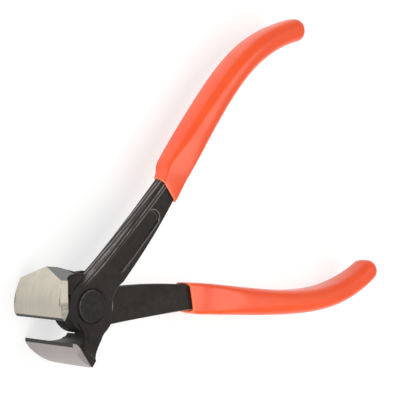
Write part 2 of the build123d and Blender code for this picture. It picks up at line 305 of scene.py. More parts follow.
@dataclass(frozen=True)
class Drawn:
    """Where a shaded point lies on the drawn lever, in millimetres.

    Attributes:
        place: All three coordinates.
        x, y, z: The same, one by one.
        outwards: The normal's part along the drawn Y.
        panel_side: Mask of the flat face that holds the panel.
    """

    place: Socket
    x: Socket
    y: Socket
    z: Socket
    outwards: Socket
    panel_side: Socket

    @classmethod
    def on(cls, graph: Graph, half: Half) -> "Drawn":
        """Finds the point from the object's own coordinates.

        Args:
            graph: The finish's graph.
            half: Which of the two halves.

        Returns:
            The point's sockets.
        """
        coordinates = graph.add("ShaderNodeTexCoord").outputs
        placing = POSE.to_drawing(half)
        place = graph.add("ShaderNodeMapping", {"Vector": coordinates["Object"], **placing}).outputs[0]
        turning = {"Vector": coordinates["Normal"], "Rotation": placing["Rotation"]}
        normal = graph.add("ShaderNodeMapping", turning, vector_type="NORMAL").outputs[0]
        x, y, z = graph.separate(place)
        _, outwards, upwards = graph.separate(normal)
        flat = graph.step(graph.math("ABSOLUTE", upwards), FLAT_FACE)
        return cls(place, x, y, z, outwards, graph.product(flat, graph.step(z, UPPER_SIDE)))


@dataclass(frozen=True)
class JawShape:
    """Sizes of the drawn jaw and masks of its faces, in millimetres and degrees.

    Attributes:
        centre_ahead, centre_drop, radius: Curve of the outer face, and its centre from the origin.
        half_corner_width: Half of the jaw's width where the gable starts.
        grind: Direction that the ends are ground in.
        side_start, corner, ridge: Turns down the outer face to the taper, the gable and the ridge.
        outer_skin, bevel_skin, hollow_skin, end_skin: Masks by height over the outer face or end.
        facet: Mask of the gable's facet, by how far it lies under the taper.
        hollow_turn, bevel_blur: Mask of the hollow and blur of the bevels, by turn in radians.
        lower_end, lower_lean, lower_level: Where the lower jaw's ends are ground: its X, its lean
            with Y, and the Y that the lean starts from.
        lower_fade: Fading of the lower jaw's inner face with Z.
    """

    centre_ahead: float = 0.95
    centre_drop: float = 2.38
    radius: float = 23.87
    half_width: float = 16.0
    half_corner_width: float = 13.7
    grind: float = 15.6
    side_start: float = 6.0
    corner: float = 33.5
    ridge: float = 47.5
    near: Step = Step(-7.0, -0.5)
    outer_skin: Step = Step(-0.10, 0.05)
    bevel_skin: Step = Step(-3.6, 0.1)
    hollow_skin: Step = Step(-3.8, -0.3)
    end_skin: Step = Step(-0.10, 0.04)
    facet: Step = Step(0.35, 0.2)
    bevel_blur: float = -0.01
    hollow_turn: Step = Step(radians(30.0), -0.2)
    hollow_ahead: Step = Step(-12.0, -1.5)
    lower_end: Step = Step(-19.75, -0.15)
    lower_lean: float = -0.09
    lower_level: float = -11.0
    lower_fade: Ramp = Ramp(-4.0, 9.0, 1.0, 0.0)

    def across(self, turn_down: float) -> float:
        """Place across the grinding direction of a point on the outer face.

        Args:
            turn_down: The point's turn down the outer face, in degrees.

        Returns:
            Its place in millimetres.
        """
        turn, grind = radians(turn_down), radians(self.grind)
        x = self.centre_ahead - self.radius * cos(turn)
        y = -self.centre_drop - self.radius * sin(turn)
        return y * cos(grind) - x * sin(grind)


JAW = JawShape()


@dataclass(frozen=True)
class JawMasks:
    """Masks of one jaw's faces.

    Attributes:
        outer, ends, bevels, gable, inner: One mask for each kind of face.
        way: Distance round the outer face from the X axis, in millimetres.
        height: Distance from the joint's middle plane.
    """

    outer: Socket
    ends: Socket
    bevels: Socket
    gable: Socket
    inner: Socket
    way: Socket
    height: Socket

    @classmethod
    def on(cls, graph: Graph, drawn: Drawn, half: Half) -> "JawMasks":
        """Finds the faces.

        Args:
            graph: The finish's graph.
            drawn: The shaded point.
            half: Which of the two halves.

        Returns:
            The masks.
        """
        near = graph.step(drawn.x, JAW.near)
        height = graph.math("ABSOLUTE", drawn.z)
        along = graph.math("SUBTRACT", drawn.x, JAW.centre_ahead)
        down = graph.math("ADD", drawn.y, JAW.centre_drop)
        over = graph.math("SUBTRACT", graph.length(along, down), JAW.radius)
        turned = graph.math("ARCTAN2", *(graph.product(part, -1.0) for part in (down, along)))
        outer = graph.product(graph.step(over, JAW.outer_skin), near)

        grind = radians(JAW.grind)
        across = graph.weigh(drawn.y, cos(grind), drawn.x, -sin(grind))
        side, corner, ridge = (JAW.across(turn) for turn in (JAW.side_start, JAW.corner, JAW.ridge))
        taper = graph.span(across, Ramp(corner, side, JAW.half_corner_width, JAW.half_width))
        gable = graph.span(across, Ramp(ridge, corner, 0.0, JAW.half_corner_width), hold=False)
        beyond = graph.math("SUBTRACT", height, graph.math("MINIMUM", taper, gable))
        ends = graph.product(graph.step(beyond, JAW.end_skin), near)
        facet = graph.product(ends, graph.step(graph.math("SUBTRACT", taper, gable), JAW.facet))

        unground = graph.math("SUBTRACT", 1.0, graph.math("MAXIMUM", outer, ends))
        edge_side = graph.step(turned, Step(radians(JAW.side_start / 2), JAW.bevel_blur))
        bevels = graph.product(edge_side, graph.step(over, JAW.bevel_skin), near, unground)
        hollow = graph.product(graph.step(over, JAW.hollow_skin), graph.step(turned, JAW.hollow_turn))
        inner = graph.product(hollow, unground, graph.step(drawn.x, JAW.hollow_ahead))
        if half is Half.FRONT:
            lean = graph.product(graph.math("SUBTRACT", drawn.y, JAW.lower_level), JAW.lower_lean)
            ahead = graph.step(graph.math("SUBTRACT", drawn.x, lean), JAW.lower_end)
            ends, facet = graph.product(ends, ahead), graph.product(facet, ahead)
            inner = graph.product(inner, graph.span(drawn.z, JAW.lower_fade))
        way = graph.product(turned, JAW.radius)
        return cls(outer, ends, bevels, facet, inner, way, height)


@dataclass(frozen=True)
class TrimLines:
    """Lengthwise ridges that trimming the forging left along the shank's outer side; the same mask bumps
    them and lightens their colour as a painted highlight.

    Attributes:
        side_start, side_rise, side_bow: Y of that side, with its part for each X and X squared.
        side_pitch, face_pitch: Distances between the lines on the side and on the face.
        side: Mask of the side, by the normal.
        face_reach, face_from: How far the lines reach over the face, and from which X on.
        narrowing: Power that narrows them.
    """

    side_start: float = 10.83
    side_rise: float = 0.0508
    side_bow: float = 0.000623
    side_pitch: float = 2.3
    face_pitch: float = 1.4
    side: Step = Step(0.6, 0.12)
    face_reach: Step = Step(3.0, -0.5)
    face_from: Step = Step(4.0, 3.0)
    strip_from: Step = Step(-6.0, 2.0)
    sway: Noise = Noise(1.0, 2.0, 0.5)
    sway_stretch: tuple[float, float, float] = (0.04, 0.04, 0.04)
    sway_share: float = 0.6
    narrowing: float = 2.0
    breaks: Noise = Noise(1.0, 4.0, 0.7)
    break_stretch: tuple[float, float, float] = (0.07, 0.3, 0.5)
    break_tone: Ramp = Ramp(0.38, 0.56, 0.3, 1.0)

    def draw(self, graph: Graph, drawn: Drawn) -> Socket:
        """Draws the lines.

        Args:
            graph: The finish's graph.
            drawn: The shaded point.

        Returns:
            Their height, which is 0 off their strip.
        """
        bow = graph.math("MULTIPLY_ADD", drawn.x, self.side_bow, self.side_rise)
        side_y = graph.math("MULTIPLY_ADD", bow, drawn.x, self.side_start)
        inwards = graph.math("SUBTRACT", side_y, drawn.y)
        reach, start = graph.step(inwards, self.face_reach), graph.step(drawn.x, self.face_from)
        band = graph.product(drawn.panel_side, reach, start)
        strip = graph.math("MAXIMUM", graph.step(drawn.outwards, self.side), band)
        strip = graph.product(strip, graph.step(drawn.x, self.strip_from))
        round_the_edge = graph.weigh(inwards, 1 / self.face_pitch, drawn.z, -1 / self.side_pitch)
        sway = graph.noise(graph.stretched(drawn.place, self.sway_stretch), self.sway)
        swayed = graph.math("MULTIPLY_ADD", sway, self.sway_share, round_the_edge)
        turn = graph.product(swayed, 2 * pi)
        ridges = graph.math("MULTIPLY_ADD", graph.math("SINE", turn), 0.5, 0.5)
        ridges = graph.math("POWER", ridges, self.narrowing)
        breaks = graph.noise(graph.stretched(drawn.place, self.break_stretch), self.breaks)
        return graph.product(ridges, graph.span(breaks, self.break_tone), strip)


@dataclass(frozen=True)
class PaintedEdgeHighlights:
    """Painted highlights: thin bright lines along the panel's rim and the joint's rear edge, where these
    edges catch the light, in millimetres.

    Attributes:
        crotch_x, crotch_y, crotch_line: Centre of the joint's rear arc, and the line along it.
        panel_x, panel_y, panel_turn: Where the recessed panel starts, and its turn in degrees.
        rim, rim_tone: Line round the panel, and how strong it is along it.
        ring, ring_share: Line inside the panel's far end, and how strong it is.
        grain_breakup: How much of the lines the forging's grain leaves.
    """

    crotch_x: float = 17.69
    crotch_y: float = -14.60
    crotch_line: Stroke = Stroke(11.78, 0.28)
    crotch_to: Step = Step(18.8, -0.6)
    panel_x: float = 19.4
    panel_y: float = 3.7
    panel_turn: float = 8.0
    panel_length: float = 33.3
    panel_half_width: float = 3.2
    rim: Stroke = Stroke(3.5, 0.34)
    rim_tone: Ramp = Ramp(2.0, 30.0, 0.45, 0.75)
    ring: Stroke = Stroke(2.45, 0.22)
    ring_share: float = 0.4
    lower: Step = Step(0.0, -0.8)
    past_end: Step = Step(1.0, 0.8)
    past_start: Step = Step(1.0, 0.8)
    grain_breakup: Ramp = Ramp(0.35, 0.55, 0.45, 1.0)

    def draw(self, graph: Graph, drawn: Drawn, grain: Socket) -> Socket:
        """Draws the painted highlight lines.

        Args:
            graph: The finish's graph.
            drawn: The shaded point.
            grain: Noise that breaks the lines.

        Returns:
            The lines' mask.
        """
        off_x = graph.math("SUBTRACT", drawn.x, self.crotch_x)
        off_y = graph.math("SUBTRACT", drawn.y, self.crotch_y)
        crotch = graph.stroke(graph.length(off_x, off_y), self.crotch_line)
        crotch = graph.product(crotch, graph.step(drawn.x, self.crotch_to))

        turn = radians(self.panel_turn)
        off_x = graph.math("SUBTRACT", drawn.x, self.panel_x)
        off_y = graph.math("SUBTRACT", drawn.y, self.panel_y)
        along = graph.weigh(off_x, cos(turn), off_y, sin(turn))
        across = graph.weigh(off_y, cos(turn), off_x, -sin(turn))
        nearest = graph.math("MAXIMUM", along, self.panel_half_width)
        nearest = graph.math("MINIMUM", nearest, self.panel_length - self.panel_half_width)
        past = graph.math("SUBTRACT", along, nearest)
        off_middle = graph.length(past, across)
        far_end = graph.step(past, self.past_end)
        # Painted highlight: the rim line is kept only on the panel's lower side and far end, the side that
        # catches the light.
        below = graph.math("MAXIMUM", graph.step(across, self.lower), far_end)
        body = graph.step(along, self.past_start)
        rim = graph.product(graph.stroke(off_middle, self.rim), below, body)
        rim = graph.product(rim, graph.span(along, self.rim_tone))
        ring = graph.product(graph.stroke(off_middle, self.ring), far_end, self.ring_share)
        lines = graph.fold("MAXIMUM", rim, ring, crotch)
        return graph.product(lines, drawn.panel_side, graph.span(grain, self.grain_breakup))


@dataclass(frozen=True)
class Burr:
    """Dark broken line where the outer face meets the end, and a stained patch near the edge.

    Attributes:
        wave, wave_stretch, wave_height: Noise that the line wanders by.
        line: The line, by height from the joint's middle plane.
        line_from, line_to: Masks of the line round the jaw.
    """

    wave: Noise = Noise(1.0, 3.0, 0.7)
    wave_stretch: float = 0.8
    wave_height: float = 0.9
    line: Stroke = Stroke(15.45, 0.30)
    line_from: Step = Step(3.5, 0.8)
    line_to: Step = Step(11.5, -1.0)
    line_breaks: Step = Step(0.47, 0.05)
    patch_to: Step = Step(5.0, -0.8)
    patch_breaks: Step = Step(0.44, 0.08)
    patch_share: float = 0.5

    def draw(self, graph: Graph, jaw: JawMasks, grain: Socket) -> Socket:
        """Draws the line and the patch.

        Args:
            graph: The finish's graph.
            jaw: The jaw's masks.
            grain: The forging's grain.

        Returns:
            Their mask.
        """
        place = graph.combine(graph.product(jaw.way, self.wave_stretch), 0.0, 0.0)
        limit = graph.weigh(jaw.height, 1.0, graph.noise(place, self.wave), self.wave_height)
        middle = graph.product(graph.step(jaw.way, self.line_from), graph.step(jaw.way, self.line_to))
        broken = graph.step(grain, self.line_breaks)
        scratch = graph.product(graph.stroke(limit, self.line), middle, broken, jaw.outer)
        stained = graph.product(graph.step(jaw.way, self.patch_to), graph.step(grain, self.patch_breaks))
        return graph.math("MAXIMUM", scratch, graph.product(jaw.ends, stained, self.patch_share))


@dataclass(frozen=True)
class LeverFinish:
    """Black forged steel, ground bright on the jaw's outer face, ends and gable.

    A share says how strong a colour or a noise is, a tone how much a noise changes a colour.

    Attributes:
        ground, streak: Colour of the ground faces, and of their darker streaks; set per half, as painted
            light and reflection.
        black, worn, line: Colours of the forging, of the flecks where its black is worn off, and of the
            painted highlights on the trim ridges and edges.
        gable, bevel, inner: Colours of the gable's facet, the bevels and the jaw's inner face.
        mill_scale, grain: Clouds and fine grain of the forging.
        outer_stretch, end_stretch: How far the streaks are drawn out.
        edge_shade: Painted shade that darkens the outer face towards the edge.
        bevel_metal, metal: How bare the bevels are, and how metallic bare steel is.
    """

    half: Half
    ground: Colour
    streak: Colour
    black: Colour = (0.0180, 0.0145, 0.0128)
    worn: Colour = (0.060, 0.056, 0.052)
    # Colour of the painted highlights on the trim ridges and along the edges.
    line: Colour = (0.30, 0.29, 0.28)
    gable: Colour = (0.21, 0.22, 0.23)
    bevel: Colour = (0.040, 0.041, 0.038)
    inner: Colour = (0.26, 0.285, 0.27)
    mill_scale: Noise = Noise(0.35, 5.0, 0.62)
    scale_tone: Ramp = Ramp(0.35, 0.8, 0.0, 0.30)
    grain: Noise = Noise(2.6, 4.0, 0.6)
    fleck_noise: Noise = Noise(1.9, 6.0, 0.78)
    fleck_mask: Step = Step(0.68, 0.035)
    fleck_share: float = 0.8
    trim_highlight_share: float = 0.95
    edge_highlight_share: float = 0.65
    inner_share: float = 0.85
    gable_share: float = 0.9
    outer_streaks: Noise = Noise(1.7, 7.0, 0.78)
    outer_stretch: float = 0.045
    end_streaks: Noise = Noise(2.0, 5.0, 0.7)
    end_stretch: float = 0.06
    streak_tone: Ramp = Ramp(0.32, 0.68, 0.0, 0.65)
    stain: Noise = Noise(0.16, 5.0, 0.6)
    stain_tone: Ramp = Ramp(0.45, 0.75, 0.0, 0.35)
    edge_shade: Ramp = Ramp(3.0, 17.0, 0.55, 0.0)
    bevel_metal: float = 0.6
    metal: float = 0.9
    black_rough: Ramp = Ramp(0.3, 0.7, 0.50, 0.66)
    bright_rough: Ramp = Ramp(0.3, 0.7, 0.36, 0.52)
    end_rough: float = 0.62
    specular: float = 0.18
    scale_share: float = 0.7
    grain_share: float = 0.3
    forged_relief: Relief = Relief(0.6, 0.2)
    trim_relief: Relief = Relief(0.8, 0.35)
    streak_relief: Relief = Relief(0.35, 0.03)

    def build(self) -> bpy.types.Material:
        """Builds the material.

        Returns:
            The lever's material.
        """
        graph = Surface(f"{self.half.lever}_forged_steel")
        drawn = Drawn.on(graph, self.half)
        jaw = JawMasks.on(graph, drawn, self.half)
        scale_marks = graph.noise(drawn.place, self.mill_scale)
        grain = graph.noise(drawn.place, self.grain)
        trim_ridges_and_highlights = TrimLines().draw(graph, drawn)
        streaks = self.streaks(graph, drawn, jaw)

        flecks = graph.step(graph.noise(drawn.place, self.fleck_noise), self.fleck_mask)
        black = graph.blend(graph.span(scale_marks, self.scale_tone), self.black, self.worn)
        black = graph.blend(graph.product(flecks, self.fleck_share), black, self.worn)
        # Painted highlight: the trim ridges are lightened in colour as well as bumped.
        black = graph.blend(graph.product(trim_ridges_and_highlights, self.trim_highlight_share), black, self.line)
        # Painted highlights along the panel's rim and the joint's rear edge.
        edge_highlights = PaintedEdgeHighlights().draw(graph, drawn, grain)
        black = graph.blend(graph.product(edge_highlights, self.edge_highlight_share), black, self.line)
        if self.half is Half.FRONT:
            black = graph.blend(graph.product(jaw.inner, self.inner_share), black, self.inner)
        bright = self.bright(graph, drawn, jaw, streaks, grain)
        bare = graph.math("MAXIMUM", jaw.outer, jaw.ends)
        colour = graph.blend(jaw.bevels, graph.blend(bare, black, bright), self.bevel)

        brushed = graph.product(streaks, bare)
        bare = graph.math("MAXIMUM", bare, graph.product(jaw.bevels, self.bevel_metal))
        bright_rough = graph.mix(jaw.ends, graph.span(streaks, self.bright_rough), self.end_rough)
        forged = graph.weigh(scale_marks, self.scale_share, grain, self.grain_share)
        forged = graph.product(forged, graph.math("SUBTRACT", 1.0, bare))
        normal = graph.bump(forged, self.forged_relief)
        normal = graph.bump(trim_ridges_and_highlights, self.trim_relief, Normal=normal)
        inputs = {
            "Base Color": colour,
            "Metallic": graph.product(bare, self.metal),
            "Roughness": graph.mix(bare, graph.span(grain, self.black_rough), bright_rough),
            "Specular IOR Level": self.specular,
            "Normal": graph.bump(brushed, self.streak_relief, Normal=normal),
        }
        return graph.shade(inputs)

    def streaks(self, graph: Graph, drawn: Drawn, jaw: JawMasks) -> Socket:
        """Streaks that the grinding left.

        Args:
            graph: The finish's graph.
            drawn: The shaded point.
            jaw: The jaw's masks.

        Returns:
            The streaks' noise.
        """
        outer_place = graph.combine(drawn.z, graph.product(jaw.way, self.outer_stretch), 0.0)
        end_place = graph.combine(drawn.x, graph.product(drawn.y, self.end_stretch), 0.0)
        outer = graph.noise(outer_place, self.outer_streaks)
        return graph.mix(jaw.ends, outer, graph.noise(end_place, self.end_streaks))

    def bright(self, graph: Graph, drawn: Drawn, jaw: JawMasks, streaks: Socket, grain: Socket) -> Socket:
        """Colour of the ground faces, with painted shade towards the jaw's edge.

        Args:
            graph: The finish's graph.
            drawn: The shaded point.
            jaw: The jaw's masks.
            streaks: The streaks' noise.
            grain: The forging's grain.

        Returns:
            The colour.
        """
        bright = graph.blend(graph.span(streaks, self.streak_tone), self.ground, self.streak)
        stain = graph.noise(drawn.place, self.stain)
        bright = graph.blend(graph.span(stain, self.stain_tone), bright, self.streak)
        # Painted shade: the outer face darkens towards the streak colour near the edge.
        edge_shaded = graph.product(graph.span(jaw.way, self.edge_shade), jaw.outer)
        bright = graph.blend(edge_shaded, bright, self.streak)
        bright = graph.blend(graph.product(jaw.gable, self.gable_share), bright, self.gable)
        if self.half is Half.REAR:
            bright = graph.blend(Burr().draw(graph, jaw, grain), bright, self.bevel)
        return bright


@dataclass(frozen=True)
class RivetFinish:
    """Blackened rivet with turned heads, and a painted highlight on one side of the heads' rims.

    Attributes:
        rim: Mask of the rim by the distance from the axis, in millimetres.
        lit_facing, lit_side: Direction of the rim's painted highlight, as shares of X and Y, and its mask.
        mark_tone, rim_tone: How much the marks lighten the head, and leave of the rim's painted highlight.
    """

    black: Colour = (0.0135, 0.0110, 0.0098)
    # Colour of the random marks, and also of the rim's painted highlight.
    worn: Colour = (0.20, 0.195, 0.19)
    rim: Step = Step(6.44, 0.10)
    lit_facing: tuple[float, float] = (-0.80, 0.45)
    lit_side: Step = Step(0.5, 3.5)
    marks: Noise = Noise(0.42, 5.0, 0.65)
    mark_tone: Ramp = Ramp(0.42, 0.80, 0.0, 0.16)
    rim_tone: Ramp = Ramp(0.3, 0.6, 0.35, 0.9)
    rim_metal: float = 0.5
    rough: Ramp = Ramp(0.3, 0.7, 0.48, 0.62)
    relief: Relief = Relief(0.5, 0.12)
    specular: float = 0.18

    def build(self) -> bpy.types.Material:
        """Builds the material.

        Returns:
            The rivet's material.
        """
        graph = Surface("joint_rivet_steel")
        coordinates = graph.add("ShaderNodeTexCoord").outputs["Object"]
        place = graph.stretched(coordinates, (1 / MM,) * 3)
        x, y, _ = graph.separate(place)
        # Painted highlight: the head's rim is lightened only on the side that faces the light.
        lit_side = graph.step(graph.weigh(x, self.lit_facing[0], y, self.lit_facing[1]), self.lit_side)
        rim = graph.product(graph.step(graph.length(x, y), self.rim), lit_side)
        marks = graph.noise(place, self.marks)
        colour = graph.blend(graph.span(marks, self.mark_tone), self.black, self.worn)
        colour = graph.blend(graph.product(rim, graph.span(marks, self.rim_tone)), colour, self.worn)
        inputs = {
            "Base Color": colour,
            "Metallic": graph.product(rim, self.rim_metal),
            "Roughness": graph.span(marks, self.rough),
            "Specular IOR Level": self.specular,
            "Normal": graph.bump(marks, self.relief),
        }
        return graph.shade(inputs)


@dataclass(frozen=True)
class SleeveFinish:
    """Glossy dipped vinyl.

    Attributes:
        deep: Its colour where the clouds make it thicker.
        rim: Its colour along the thin edge of the mouth.
        rim_mask: Mask of that edge, by the distance from the mouth in millimetres.
    """

    colour: Colour = (0.93, 0.092, 0.012)
    deep: Colour = (0.86, 0.066, 0.007)
    rim: Colour = (0.95, 0.20, 0.07)
    clouds: Noise = Noise(60.0, 3.0, 0.5)
    deep_tone: Ramp = Ramp(0.35, 0.7, 0.0, 0.6)
    rim_mask: Step = Step(0.45, -0.25)
    rim_share: float = 0.75
    rough: Ramp = Ramp(0.3, 0.7, 0.30, 0.38)
    specular: float = 0.5
    coat: float = 0.2
    coat_rough: float = 0.12
    skin: Noise = Noise(1100.0, 3.0, 0.5)
    relief: Relief = Relief(0.08, 0.04)

    def build(self) -> bpy.types.Material:
        """Builds the material.

        Returns:
            The sleeves' material.
        """
        graph = Surface("grip_vinyl")
        coordinates = graph.add("ShaderNodeTexCoord").outputs["Object"]
        from_mouth = graph.add("ShaderNodeAttribute", attribute_name=FROM_MOUTH).outputs["Fac"]
        clouds = graph.noise(coordinates, self.clouds)
        colour = graph.blend(graph.span(clouds, self.deep_tone), self.colour, self.deep)
        edge = graph.product(graph.step(from_mouth, self.rim_mask), self.rim_share)
        inputs = {
            "Base Color": graph.blend(edge, colour, self.rim),
            "Roughness": graph.span(clouds, self.rough),
            "Specular IOR Level": self.specular,
            "Coat Weight": self.coat,
            "Coat Roughness": self.coat_rough,
            "Normal": graph.bump(graph.noise(coordinates, self.skin), self.relief),
        }
        return graph.shade(inputs)


def curve(knots: np.ndarray, values: np.ndarray, slopes: np.ndarray, x: np.ndarray) -> Curve:
    """Smooth curve through points with given slopes, held before the first and after the last.

    Args:
        knots: Rising places of the points.
        values: The points' values.
        slopes: The curve's slopes there.
        x: Where the curve is evaluated.

    Returns:
        The curve's values and slopes at each of these places.
    """
    index = np.clip(np.searchsorted(knots, x, side="right") - 1, 0, len(knots) - 2)
    gap = np.diff(knots)[index]
    share = np.clip((x - knots[index]) / gap, 0.0, 1.0)
    first, second = slopes[index] * gap, slopes[index + 1] * gap
    step = values[index + 1] - values[index]
    bulge = 3 * step - 2 * first - second
    twist = first + second - 2 * step
    value = values[index] + first * share + bulge * share**2 + twist * share**3
    return value, (first + 2 * bulge * share + 3 * twist * share**2) / gap


@dataclass(frozen=True)
class HandleLine:
    """Middle line of a drawn handle, in millimetres.

    Attributes:
        bend: How far its tip is bent sideways.
        length: Its reach along X.
        start, start_height: Where it starts.
        rise: The height that the shares scale.
        start_slope, end_slope: Rise at its ends over its whole length, the second with no bend.
        slope_of_bend: Change of the end's slope for each millimetre of bend.
        along, risen, bent: Its points, as shares of the length, of the rise and of the bend.
        samples: Number of points that distances are measured with.
    """

    bend: float
    length: float
    start: float = 57.0
    start_height: float = 10.6
    rise: float = 20.0
    start_slope: float = 32.606
    end_slope: float = -58.764
    slope_of_bend: float = 1.638
    along: tuple[float, ...] = (0.0, 0.153, 0.346, 0.539, 0.708, 0.845, 1.0)
    risen: tuple[float, ...] = (0.0, 0.265, 0.605, 0.885, 0.988, 0.898, 0.58)
    bent: tuple[float, ...] = (0.0, 0.0, 0.0, 0.0, 0.2, 0.6, 1.0)
    samples: int = 1200

    def height_and_slope(self, x: np.ndarray) -> Curve:
        """Height and slope of the line.

        Args:
            x: Places along X.

        Returns:
            The line's Y and its slope there.
        """
        knots = self.start + self.length * np.array(self.along)
        heights = self.start_height + self.rise * np.array(self.risen) + self.bend * np.array(self.bent)
        gaps = np.diff(knots)
        chords = np.diff(heights) / gaps
        count = len(knots)
        system = np.eye(count)
        slopes = np.empty(count)
        slopes[0] = self.start_slope / self.length
        slopes[-1] = (self.end_slope + self.slope_of_bend * self.bend) / self.length
        for row in range(1, count - 1):
            before, after = gaps[row - 1], gaps[row]
            system[row, row - 1 : row + 2] = after, 2 * (before + after), before
            slopes[row] = 3 * (after * chords[row - 1] + before * chords[row])
        slopes = np.linalg.solve(system, slopes)
        height, slope = curve(knots, heights, slopes, x)
        before_start = np.minimum(x - self.start, 0.0)
        return height + before_start * self.start_slope / self.length, slope

    def places(self, x_from: float) -> Curve:
        """Distances along the line against X, up to its tip.

        Args:
            x_from: X that the places start at.

        Returns:
            Places along X, and each one's distance along the line from its start.
        """
        x = np.linspace(x_from, self.start + self.length, self.samples)
        y, _ = self.height_and_slope(x)
        steps = np.hypot(np.diff(x), np.diff(y))
        distance = np.concatenate(([0.0], np.cumsum(steps)))
        return x, distance - np.interp(self.start, x, distance)


@dataclass(frozen=True)
class Sleeve:
    """One grip sleeve: a skin lofted through sections along the handle line, in drawn millimetres.

    Attributes:
        tip_bend, reach: Bend and length of the handle line.
        mouth, mouth_middle: X and Y of the mouth's middle.
        mouth_tilt: Lean of the mouth's plane, in degrees.
        mouth_lift: How far the mouth is raised.
        mouth_blend: How far from the mouth the body's own sections start.
        before_mouth: How far before the mouth the handle line is measured.
        width, height, corner: Sizes that the shares scale.
        wall, wall_depth: Width of the mouth's face, which ends inside the lever, and how far its
            inner edge lies behind the mouth.
        around, spacing: Points round each section, and distance between the body's rows.
        joined_within: Points nearer than this become one.
        fullness: How soon a section's flats reach their corners.
        place_shares: Places of the body's sections along the line.
    """

    half: Half
    tip_bend: float
    reach: float
    mouth: float
    mouth_width: float
    mouth_middle: float
    mouth_tilt: float
    mouth_height: float = 10.2
    mouth_lift: float = 0.4
    mouth_corner: float = 2.0
    mouth_blend: float = 5.0
    before_mouth: float = 3.0
    width: float = 14.0
    height: float = 15.8
    corner: float = 5.2
    least_corner: float = 0.15
    tip_round: float = 5.0
    lip_round: float = 0.4
    tip_rows: int = 14
    lip_rows: int = 6
    wall: float = 2.2
    wall_depth: float = 1.5
    around: int = 88
    spacing: float = 1.3
    joined_within: float = 0.0005
    fullness: float = 2.6
    place_shares: tuple[float, ...] = (
        0.04, 0.105, 0.153, 0.217, 0.306, 0.42, 0.54, 0.66, 0.76, 0.84, 0.895, 0.932, 0.955
    )
    width_shares: tuple[float, ...] = (
        1.0, 0.985, 0.97, 0.936, 0.9, 0.846, 0.81, 0.793, 0.793, 0.793, 0.79, 0.787, 0.785
    )
    height_shares: tuple[float, ...] = (
        0.646, 0.672, 0.772, 0.874, 0.924, 0.972, 0.996, 1.0, 0.968, 0.922, 0.89, 0.87, 0.857
    )
    corner_shares: tuple[float, ...] = (
        0.42, 0.54, 0.66, 0.82, 0.93, 0.98, 1.0, 1.0, 1.0, 1.0, 1.0, 1.0, 1.0
    )

    def rows(self, mouth: float, tip: float) -> np.ndarray:
        """Rows of the skin from inside the mouth to the tip.

        Args:
            mouth: The mouth's distance along the line.
            tip: The tip's distance along it.

        Returns:
            For each row its distance, how far it lies in from the outer form, and its scale,
            which is 0 where the row closes to a point.
        """
        lip, tip_length = self.lip_round, tip * (1 - self.place_shares[-1])
        rows = [(mouth + self.wall_depth, self.wall, scale) for scale in (0.0, 1.0)]
        rows.append((mouth, 2 * lip, 1.0))
        for turn in np.linspace(0.0, pi / 2, self.lip_rows):
            rows.append((mouth + lip * (1 - cos(turn)), lip * (1 - sin(turn)), 1.0))
        start, end = mouth + lip, tip - tip_length
        count = ceil((end - start) / self.spacing)
        rows += [(start + (end - start) * number / count, 0.0, 1.0) for number in range(1, count)]
        for turn in np.linspace(0.0, pi / 2, self.tip_rows):
            rows.append((end + tip_length * sin(turn), self.tip_round * (1 - cos(turn)), 1.0))
        rows.append((tip, self.tip_round, 0.0))
        return np.array(rows)

    def skeleton(self) -> bpy.types.Object:
        """Chain of points, one for each row, that carry their sections as attributes.

        Returns:
            The object that the Geometry Nodes tree works on.
        """
        line = HandleLine(self.tip_bend, self.reach)
        x_table, distances = line.places(self.mouth - self.before_mouth)
        mouth, tip = float(np.interp(self.mouth, x_table, distances)), float(distances[-1])
        rows = self.rows(mouth, tip)
        distance = rows[:, 0]
        x = np.interp(distance, distances, x_table)
        y, slope = line.height_and_slope(x)
        places = tip * np.array(self.place_shares)
        kept = np.interp(places, distances, x_table) > self.mouth + self.mouth_blend
        places = np.concatenate(([mouth], places[kept]))
        tables = (
            (self.mouth_width / self.width, self.width_shares),
            (self.mouth_height / self.height, self.height_shares),
            (self.mouth_corner / self.corner, self.corner_shares),
        )
        sections = []
        for first, shares in tables:
            sizes = np.concatenate(([first], np.array(shares)[kept]))
            sections.append(curve(places, sizes, np.gradient(sizes, places), distance)[0])
        share = np.clip((distance - mouth) / (places[1] - mouth), 0.0, 1.0)
        like_mouth = 1 - share**2 * (3 - 2 * share)
        line_at_mouth, _ = line.height_and_slope(np.array([self.mouth]))
        y = y + like_mouth * (self.mouth_middle - line_at_mouth[0])
        turn = np.arctan(slope) * (1 - like_mouth)

        mesh = bpy.data.meshes.new(f"{self.half.sleeve}_rows")
        points = [(px, py, self.mouth_lift * lift) for px, py, lift in zip(x, y, like_mouth)]
        mesh.from_pydata(points, [(row, row + 1) for row in range(len(points) - 1)], [])
        vectors = {
            "centre": np.array(points),
            "across": np.stack((-np.sin(turn), np.cos(turn), np.zeros_like(turn)), axis=1),
            "section": np.stack(sections, axis=1),
        }
        for name, values in vectors.items():
            mesh.attributes.new(name, "FLOAT_VECTOR", "POINT").data.foreach_set("vector", values.ravel())
        numbers = {
            "inset": rows[:, 1],
            "scale": rows[:, 2],
            "lean": like_mouth * tan(radians(self.mouth_tilt)),
            FROM_MOUTH: distance - mouth,
        }
        for name, values in numbers.items():
            mesh.attributes.new(name, "FLOAT", "POINT").data.foreach_set("value", values)
        piece = bpy.data.objects.new(self.half.sleeve, mesh)
        bpy.context.scene.collection.objects.link(piece)
        return piece

